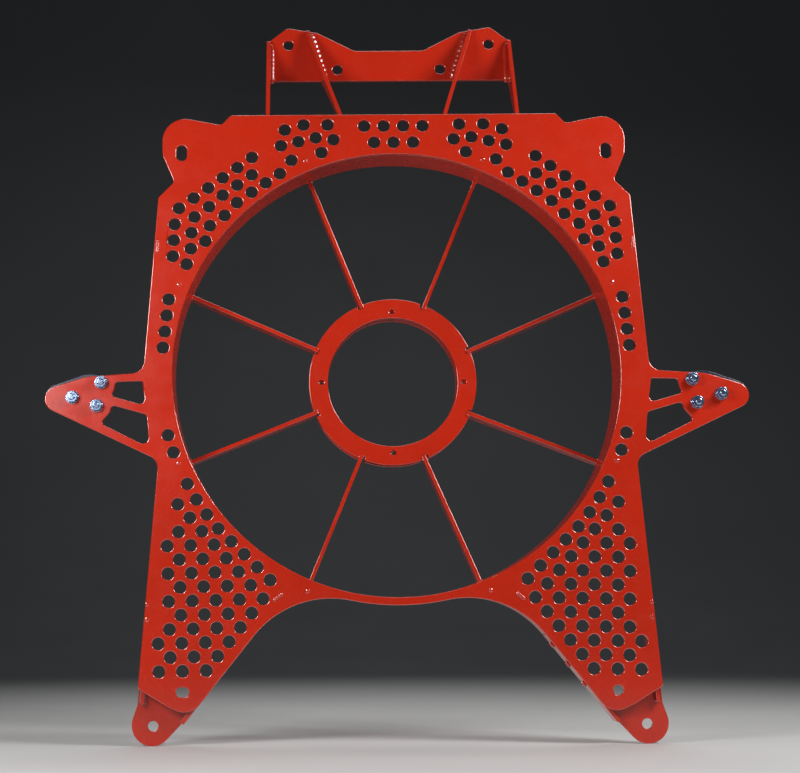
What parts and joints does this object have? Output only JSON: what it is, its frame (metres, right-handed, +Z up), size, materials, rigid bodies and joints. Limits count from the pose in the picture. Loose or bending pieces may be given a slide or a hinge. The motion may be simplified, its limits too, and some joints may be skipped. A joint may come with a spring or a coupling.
{
  "type": "welded chassis bulkhead frame",
  "caption": "Welded plate frame with a large round opening, a spoked set-back hub, two legs with lugs, side ears with bolts and a raised top bracket.",
  "frame": {"origin": "on the axis of the large round opening, in the front face of the front plate", "axes": "+Z up, +Y from the front face towards the back, +X to the right seen from the front"},
  "size_m": [0.8532, 0.1224, 0.9114],
  "materials": {
    "powder_coat": "glossy red-orange powder coat over steel",
    "dark_coat": "dark blue satin coat",
    "zinc": "bright zinc plating"
  },
  "bodies": {
    "root": {"front_plate": "powder_coat", "rim_band": "powder_coat", "hub_front_flange": "powder_coat", "hub_tube": "powder_coat", "hub_rear_flange": "powder_coat", "spoke_east_north_east": "powder_coat", "spoke_north_north_east": "powder_coat", "spoke_north_north_west": "powder_coat", "spoke_west_north_west": "powder_coat", "spoke_west_south_west": "powder_coat", "spoke_south_south_west": "powder_coat", "spoke_south_south_east": "powder_coat", "spoke_east_south_east": "powder_coat", "left_shoulder_stiffener": "powder_coat", "right_shoulder_stiffener": "powder_coat", "left_side_stiffener": "powder_coat", "right_side_stiffener": "powder_coat", "left_leg_outer_stiffener": "powder_coat", "right_leg_outer_stiffener": "powder_coat", "left_leg_inner_stiffener": "powder_coat", "right_leg_inner_stiffener": "powder_coat", "left_arch_stiffener": "powder_coat", "right_arch_stiffener": "powder_coat", "left_lug_plate": "powder_coat", "right_lug_plate": "powder_coat", "bracket_crossbar": "powder_coat", "left_outer_gusset": "powder_coat", "left_inner_gusset": "powder_coat", "right_inner_gusset": "powder_coat", "right_outer_gusset": "powder_coat", "left_ear_pad": "dark_coat", "right_ear_pad": "dark_coat", "left_ear_bolts": "zinc", "right_ear_bolts": "zinc", "left_ear_washers": "zinc", "right_ear_washers": "zinc", "left_ear_nuts": "zinc", "right_ear_nuts": "zinc"}
  },
  "joints": []
}
